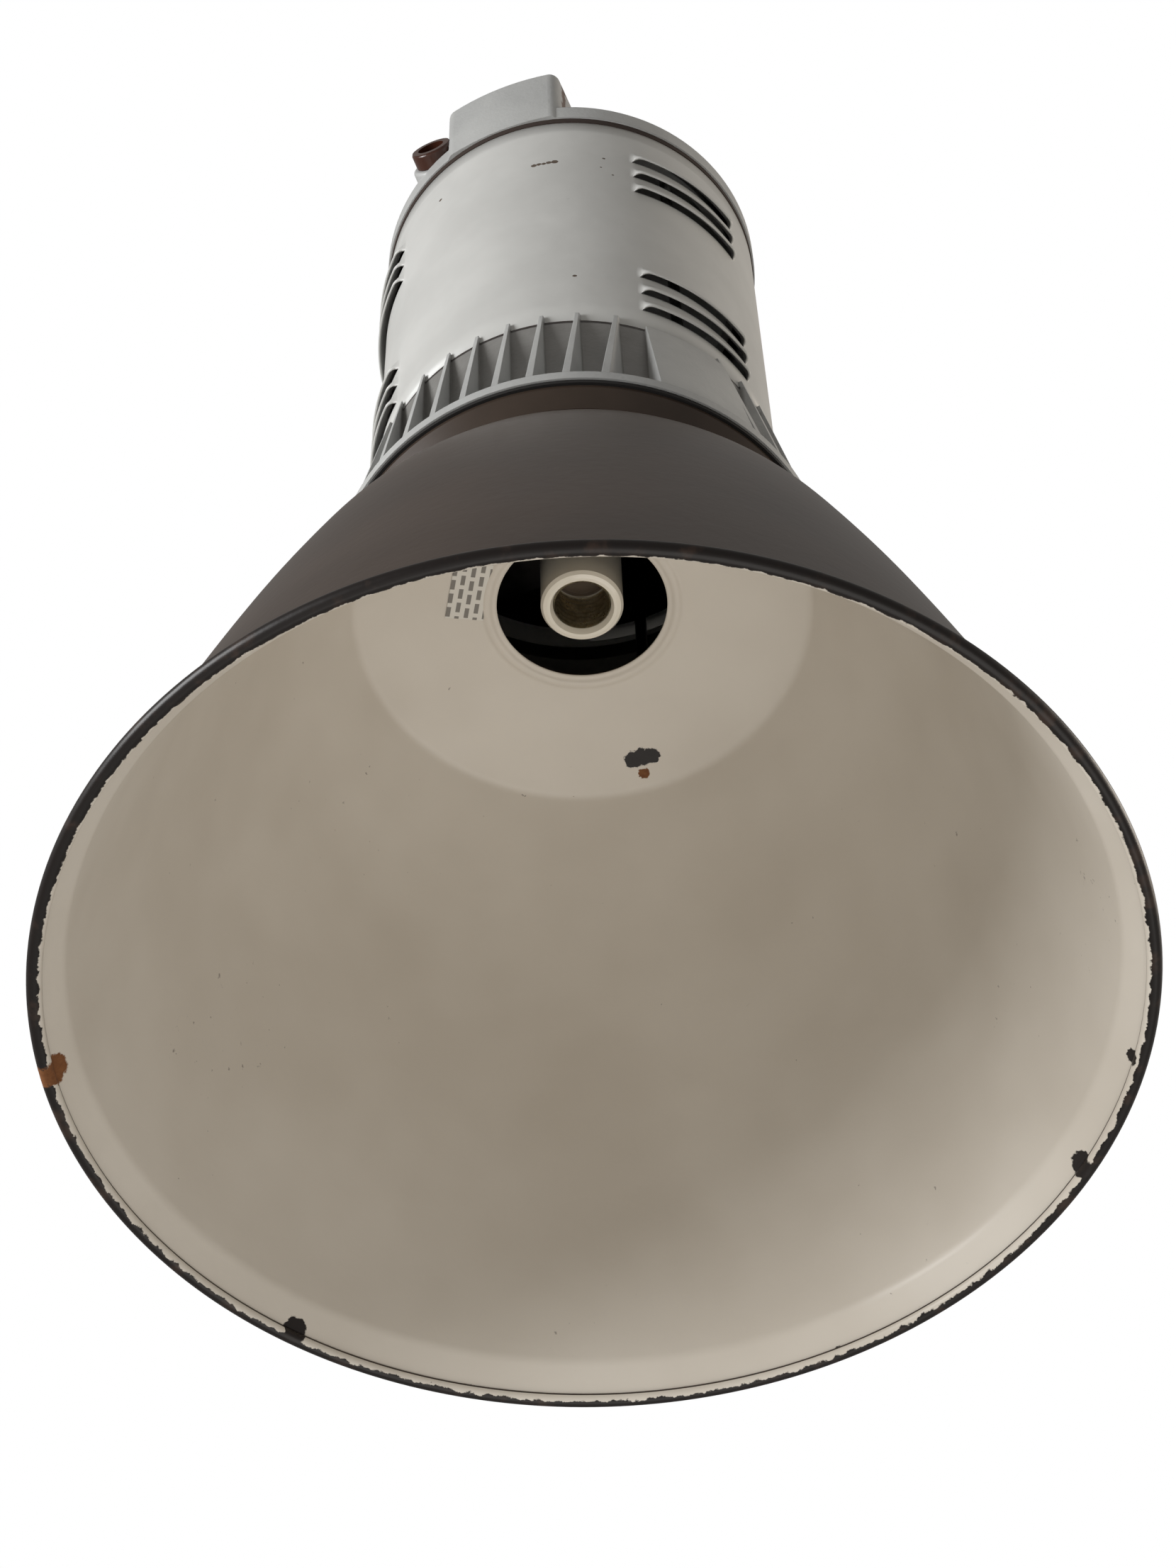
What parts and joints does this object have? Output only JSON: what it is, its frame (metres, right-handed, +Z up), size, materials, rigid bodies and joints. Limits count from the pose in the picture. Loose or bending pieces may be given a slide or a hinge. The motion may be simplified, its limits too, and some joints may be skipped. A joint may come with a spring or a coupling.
{
  "type": "pendant lamp fixture",
  "caption": "Pendant lamp fixture: enamelled steel bell reflector under a finned casting, a louvred round housing, a cast cap with side conduit entry and stem hub, and a porcelain screw socket.",
  "frame": {"origin": "centre of the mouth of the threaded stem hub on top of the cap, from which the fixture hangs", "axes": "+Z up along the stem, -Y towards the splice box and the side conduit entry"},
  "size_m": [0.4572, 0.4572, 0.702],
  "materials": {
    "bell_enamel": "vitreous enamel, brown-grey outside and white inside, chipped to bare rust at the rim",
    "dark_enamel": "dark enamel in the shadow of the flange",
    "black_rubber": "felted black gasket",
    "grey_casting": "light grey paint on cast aluminium, slightly grained",
    "grey_sheet": "light grey baked paint on sheet steel, a few chips",
    "brown_gasket": "dark brown compressed gasket",
    "zinc_steel": "dull zinc plate",
    "brown_phenolic": "dark red-brown moulded phenolic",
    "porcelain": "off-white glazed porcelain",
    "nickel_brass": "nickel plated brass, tarnished",
    "spring_brass": "spring brass",
    "lamination": "varnished steel laminations",
    "winding": "varnished coil wrap",
    "capacitor_can": "drawn aluminium can",
    "ground_green": "green screw",
    "wire_nut_plastic": "moulded plastic",
    "label_paper": "worn paper sticker, plain bars",
    "lead_black": "black lead insulation",
    "lead_white": "white lead insulation"
  },
  "bodies": {
    "fixture": {"ballast_coil": "winding", "ballast_core": "lamination", "ballast_plate": "zinc_steel", "ballast_screws": "zinc_steel", "ballast_straps": "zinc_steel", "bracket_screws": "zinc_steel", "cap_nuts": "zinc_steel", "capacitor": "capacitor_can", "capacitor_clamp": "zinc_steel", "conduit_bushing": "brown_phenolic", "contact_base": "spring_brass", "contact_rivet": "spring_brass", "fin_collar": "grey_casting", "ground_screw": "ground_green", "housing_shell": "grey_sheet", "hub_set_screw": "zinc_steel", "neck_gasket": "black_rubber", "neck_ring": "dark_enamel", "nipple_locknuts": "zinc_steel", "plate_nuts": "zinc_steel", "rating_label": "label_paper", "reflector": "bell_enamel", "reflector_bolts": "zinc_steel", "reflector_nuts": "zinc_steel", "screw_shell": "nickel_brass", "shell_gasket": "brown_gasket", "socket_body": "porcelain", "socket_bracket": "zinc_steel", "socket_lead_black": "lead_black", "socket_lead_white": "lead_white", "socket_nipple": "zinc_steel", "socket_terminals": "spring_brass", "splice_cover": "grey_casting", "splice_cover_screws": "zinc_steel", "supply_lead_black": "lead_black", "supply_lead_white": "lead_white", "terminal_block": "brown_phenolic", "terminal_block_screws": "spring_brass", "tie_rods": "zinc_steel", "top_cap": "grey_casting", "top_gasket": "brown_gasket", "washers": "zinc_steel", "wire_nuts": "wire_nut_plastic"},
    "contact": {"contact_tongue": "spring_brass"}
  },
  "joints": [
    {"name": "contact_press", "type": "hinge", "parent": "fixture", "child": "contact", "pos_m": [-0.0033, 0, -0.3685], "axis": [0, -1, 0], "range_deg": [0, 10], "stiffness_Nm_per_rad": 0.5}
  ]
}
